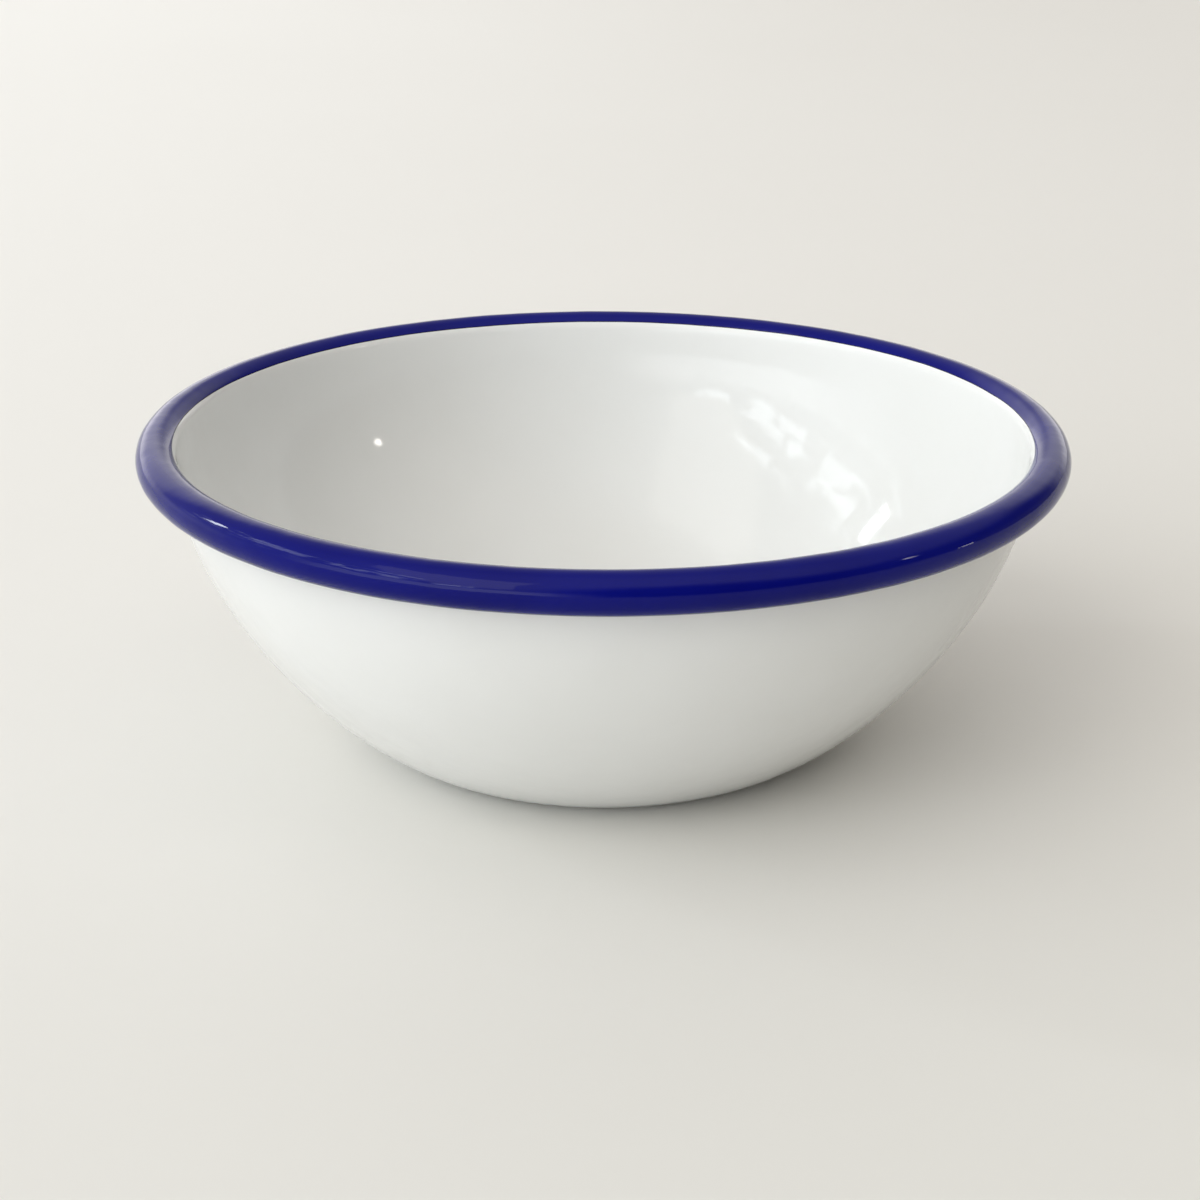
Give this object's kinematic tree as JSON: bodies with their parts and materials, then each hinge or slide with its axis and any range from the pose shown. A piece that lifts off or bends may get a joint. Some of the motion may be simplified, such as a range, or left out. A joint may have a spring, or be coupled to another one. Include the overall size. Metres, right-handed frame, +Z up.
{
  "type": "enamel bowl",
  "caption": "Round enamelled steel bowl with a curved wall, a curled blue rim, white enamel inside and out, and a small flat base to stand on.",
  "frame": {"origin": "centre of the base, on the plane that the bowl stands on", "axes": "+Z up along the bowl's axis of revolution; +X and +Y are any two square directions across the rim"},
  "size_m": [0.1598, 0.1598, 0.056],
  "materials": {
    "sheet_steel": "matte",
    "white_enamel": "gloss",
    "blue_enamel": "gloss"
  },
  "bodies": {
    "root": {"steel_shell": "sheet_steel", "enamel_inside": "white_enamel", "enamel_outside": "white_enamel", "rim_enamel": "blue_enamel"}
  },
  "joints": []
}
